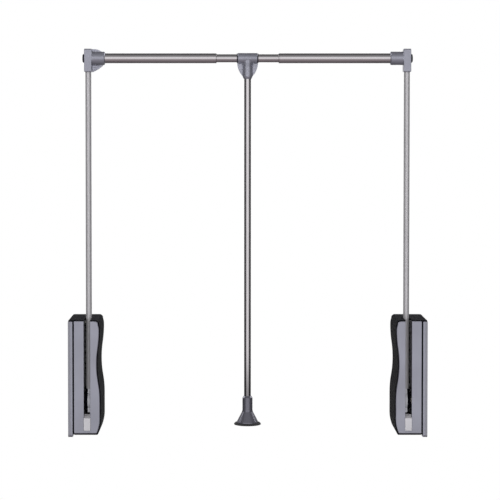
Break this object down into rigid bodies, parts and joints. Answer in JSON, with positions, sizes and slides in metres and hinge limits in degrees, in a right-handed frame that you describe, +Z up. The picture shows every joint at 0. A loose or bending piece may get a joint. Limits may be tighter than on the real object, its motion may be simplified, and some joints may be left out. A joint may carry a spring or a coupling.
{
  "type": "pull down closet rod",
  "caption": "Wardrobe lift: two wall housings with sprung arms carry a telescopic hanging rail that a pull rod swings forward and down.",
  "frame": {"origin": "left wall face, on the pivot axis of the arms", "axes": "+X from the left wall to the right wall, -Y out into the room, +Z up"},
  "size_m": [0.7854, 0.141, 0.8505],
  "materials": {
    "grey_plastic": "satin moulded, silver grey",
    "black_plastic": "fine moulded grain, black",
    "dark_plastic": "satin moulded, near black",
    "grip_plastic": "semi-gloss moulded, dark grey",
    "light_grey_bumper": "soft moulded, light grey",
    "white_nylon": "natural nylon",
    "black_rubber": "matt rubber",
    "satin_nickel": "satin nickel plated tube",
    "zinc_steel": "zinc plated sheet",
    "turned_steel": "turned steel",
    "spring_steel": "oiled spring steel",
    "cast_zinc": "die cast",
    "bronze": "sintered bronze"
  },
  "bodies": {
    "left_housing": {"left_base_tray": "grey_plastic", "left_shell": "black_plastic", "left_fascia": "grey_plastic", "left_steel_bracket": "zinc_steel", "left_bracket_rivets": "zinc_steel", "left_pivot_axle": "turned_steel", "left_axle_circlips": "spring_steel", "left_pivot_spacers": "white_nylon", "left_rack_guide": "white_nylon", "left_damper_cylinder": "turned_steel", "left_spring_seat": "white_nylon", "left_lift_spring": "spring_steel", "left_lower_bumper": "light_grey_bumper", "left_upper_bumper": "black_rubber"},
    "left_arm": {"left_arm_hub": "cast_zinc", "left_pivot_bushes": "bronze", "left_arm_tube": "satin_nickel", "left_arm_screws": "turned_steel", "left_corner_connector": "grey_plastic", "left_corner_cap": "dark_plastic", "left_outer_tube": "satin_nickel", "left_rail_bush": "dark_plastic", "left_web_plate": "grey_plastic"},
    "left_rack": {"left_lift_rack": "cast_zinc", "left_piston_rod": "turned_steel"},
    "right_housing": {"right_base_tray": "grey_plastic", "right_shell": "black_plastic", "right_fascia": "grey_plastic", "right_steel_bracket": "zinc_steel", "right_bracket_rivets": "zinc_steel", "right_pivot_axle": "turned_steel", "right_axle_circlips": "spring_steel", "right_pivot_spacers": "white_nylon", "right_rack_guide": "white_nylon", "right_damper_cylinder": "turned_steel", "right_spring_seat": "white_nylon", "right_lift_spring": "spring_steel", "right_lower_bumper": "light_grey_bumper", "right_upper_bumper": "black_rubber"},
    "right_arm": {"right_arm_hub": "cast_zinc", "right_pivot_bushes": "bronze", "right_arm_tube": "satin_nickel", "right_arm_screws": "turned_steel", "right_corner_connector": "grey_plastic", "right_corner_cap": "dark_plastic", "right_outer_tube": "satin_nickel", "right_rail_bush": "dark_plastic"},
    "right_rack": {"right_lift_rack": "cast_zinc", "right_piston_rod": "turned_steel"},
    "centre_tube": {"inner_tube": "satin_nickel", "inner_tube_bushes": "dark_plastic", "tee_stop_rings": "dark_plastic"},
    "pull_handle": {"tee_connector": "grey_plastic", "tee_liners": "dark_plastic", "tee_screw": "turned_steel", "pull_rod": "satin_nickel", "grip_bell": "grip_plastic", "grip_rim": "black_rubber", "grip_pad": "black_rubber"}
  },
  "joints": [
    {"name": "width_adjust", "type": "slide", "parent": "left_housing", "child": "right_housing", "axis": [1, 0, 0], "range_m": [-0.075, 0.1]},
    {"name": "left_arm_swing", "type": "hinge", "parent": "left_housing", "child": "left_arm", "pos_m": [0.0415, 0, 0], "axis": [1, 0, 0], "range_deg": [0, 109], "stiffness_Nm_per_rad": 6, "springref_deg": -20.05},
    {"name": "left_rack_slide", "type": "slide", "parent": "left_housing", "child": "left_rack", "axis": [0, 0, 1], "range_m": [0, 0.048], "deforming": ["left_lift_spring"]},
    {"name": "right_arm_swing", "type": "hinge", "parent": "right_housing", "child": "right_arm", "pos_m": [0.7439, 0, 0], "axis": [1, 0, 0], "range_deg": [0, 109]},
    {"name": "right_rack_slide", "type": "slide", "parent": "right_housing", "child": "right_rack", "axis": [0, 0, 1], "range_m": [0, 0.048], "deforming": ["right_lift_spring"]},
    {"name": "centre_slide", "type": "slide", "parent": "left_arm", "child": "centre_tube", "axis": [1, 0, 0], "range_m": [-0.0375, 0.05]},
    {"name": "handle_swing", "type": "hinge", "parent": "centre_tube", "child": "pull_handle", "pos_m": [0.3927, 0, 0.7575], "axis": [1, 0, 0], "range_deg": [-150, 20]}
  ],
  "couplings": [
    {"joint": "right_arm_swing", "follows": "left_arm_swing", "ratio": 1},
    {"joint": "left_rack_slide", "follows": "left_arm_swing", "m_per_rad": 0.025},
    {"joint": "right_rack_slide", "follows": "left_arm_swing", "m_per_rad": 0.025},
    {"joint": "centre_slide", "follows": "width_adjust", "ratio": 0.5}
  ]
}
